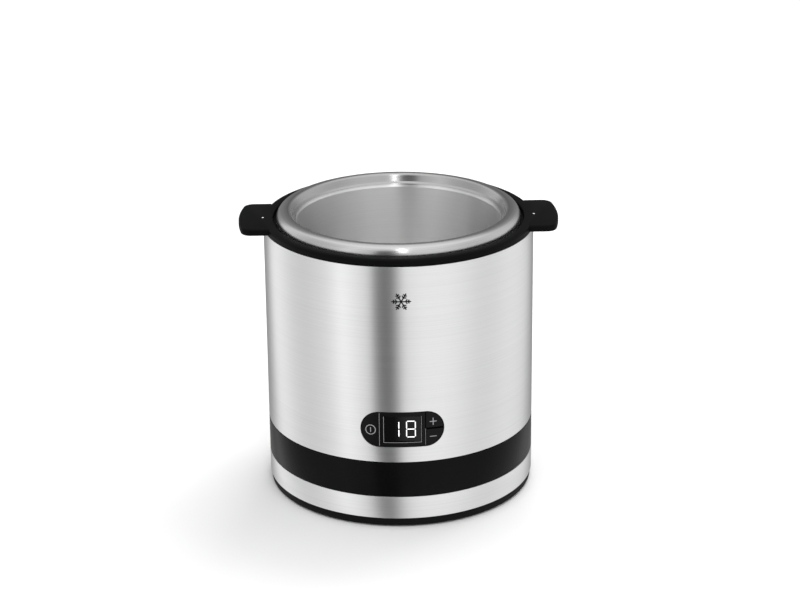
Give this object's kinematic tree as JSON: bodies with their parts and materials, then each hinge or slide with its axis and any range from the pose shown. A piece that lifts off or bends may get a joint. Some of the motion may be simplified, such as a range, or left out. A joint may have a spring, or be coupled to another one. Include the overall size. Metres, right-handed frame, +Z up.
{
  "type": "yogurt maker",
  "caption": "Compact frozen-yogurt maker: round motor base in brushed steel with a timer panel, and a lift-out double-walled freezer bowl that it turns.",
  "frame": {"origin": "centre of the footprint, on the surface that the rubber feet stand on", "axes": "+Z up, the control panel faces -Y, and the two ears of the top ring point along +X and -X"},
  "size_m": [0.168, 0.142, 0.1523],
  "materials": {
    "brushed_steel": "horizontally brushed stainless steel",
    "bowl_steel": "satin stainless steel, brushed round the axis",
    "black_plastic": "satin moulded black plastic",
    "panel_black": "fine satin black panel plastic",
    "display_glass": "dark tinted window",
    "display_block": "LED display block",
    "rubber": "matt black rubber",
    "white_gear": "natural acetal",
    "shaft_steel": "ground steel",
    "bronze": "sintered bronze",
    "zinc_plate": "zinc-plated steel",
    "circuit_board": "solder mask",
    "component_black": "moulded component",
    "copper_winding": "enamelled copper wire",
    "ferrite": "sintered ferrite",
    "fuse_glass": "clear glass",
    "grey_cable": "matt cable jacket",
    "coolant_gel": "freezer gel"
  },
  "bodies": {
    "base": {"rubber_foot_1": "rubber", "rubber_foot_2": "rubber", "rubber_foot_3": "rubber", "rubber_foot_4": "rubber", "shaft_seal": "rubber", "cord_gland": "rubber", "base_plate": "black_plastic", "lower_housing": "black_plastic", "top_ring": "black_plastic", "bowl_well": "black_plastic", "tie_screw_1": "zinc_plate", "tie_screw_2": "zinc_plate", "tie_screw_3": "zinc_plate", "tie_screw_4": "zinc_plate", "gear_plate": "zinc_plate", "gear_plate_screw_1": "zinc_plate", "gear_plate_screw_2": "zinc_plate", "gear_plate_screw_3": "zinc_plate", "gear_plate_screw_4": "zinc_plate", "motor_screw_1": "zinc_plate", "motor_screw_2": "zinc_plate", "motor_can": "zinc_plate", "motor_end_cap": "zinc_plate", "lower_sleeve": "brushed_steel", "upper_sleeve": "brushed_steel", "idler_axle": "shaft_steel", "idler_clip": "shaft_steel", "upper_bush": "bronze", "lower_bush": "bronze", "motor_coil": "copper_winding", "power_board": "circuit_board", "control_board": "circuit_board", "power_transformer": "ferrite", "filter_capacitor": "component_black", "terminal_block": "component_black", "switch_power": "component_black", "switch_plus": "component_black", "switch_minus": "component_black", "mains_fuse": "fuse_glass", "control_harness": "grey_cable", "display_module": "display_block", "display_lens": "display_glass", "panel_bezel": "panel_black"},
    "drive": {"turntable": "black_plastic", "drive_shaft": "shaft_steel", "shaft_clip": "shaft_steel", "output_gear": "white_gear"},
    "bowl": {"bowl_inner_shell": "bowl_steel", "bowl_outer_shell": "bowl_steel", "coolant_gel": "coolant_gel", "bowl_rim_gasket": "rubber", "bowl_drive_socket": "black_plastic"},
    "idler": {"idler_gear": "white_gear"},
    "rotor": {"motor_rotor": "shaft_steel", "motor_pinion": "white_gear"},
    "power_key": {"button_power": "panel_black"},
    "plus_key": {"button_plus": "panel_black"},
    "minus_key": {"button_minus": "panel_black"}
  },
  "joints": [
    {"name": "turntable_spin", "type": "hinge", "parent": "base", "child": "drive", "pos_m": [0, 0, 0.055], "axis": [0, 0, 1], "continuous": true},
    {"name": "bowl_lift", "type": "slide", "parent": "drive", "child": "bowl", "axis": [0, 0, 1], "range_m": [0, 0.095]},
    {"name": "idler_spin", "type": "hinge", "parent": "base", "child": "idler", "pos_m": [0.0135, 0.02338, 0.03], "axis": [0, 0, 1], "continuous": true},
    {"name": "rotor_spin", "type": "hinge", "parent": "base", "child": "rotor", "pos_m": [0.0365, 0.02338, 0.015], "axis": [0, 0, 1], "continuous": true},
    {"name": "power_press", "type": "slide", "parent": "base", "child": "power_key", "axis": [0, 1, 0], "range_m": [0, 0.0005], "stiffness_N_per_m": 1500, "springref_m": -0.0002},
    {"name": "plus_press", "type": "slide", "parent": "base", "child": "plus_key", "axis": [0, 1, 0], "range_m": [0, 0.0005], "stiffness_N_per_m": 1500, "springref_m": -0.0002},
    {"name": "minus_press", "type": "slide", "parent": "base", "child": "minus_key", "axis": [0, 1, 0], "range_m": [0, 0.0005], "stiffness_N_per_m": 1500, "springref_m": -0.0002}
  ],
  "couplings": [
    {"joint": "idler_spin", "follows": "turntable_spin", "ratio": -3.5},
    {"joint": "rotor_spin", "follows": "turntable_spin", "ratio": 12.6}
  ]
}
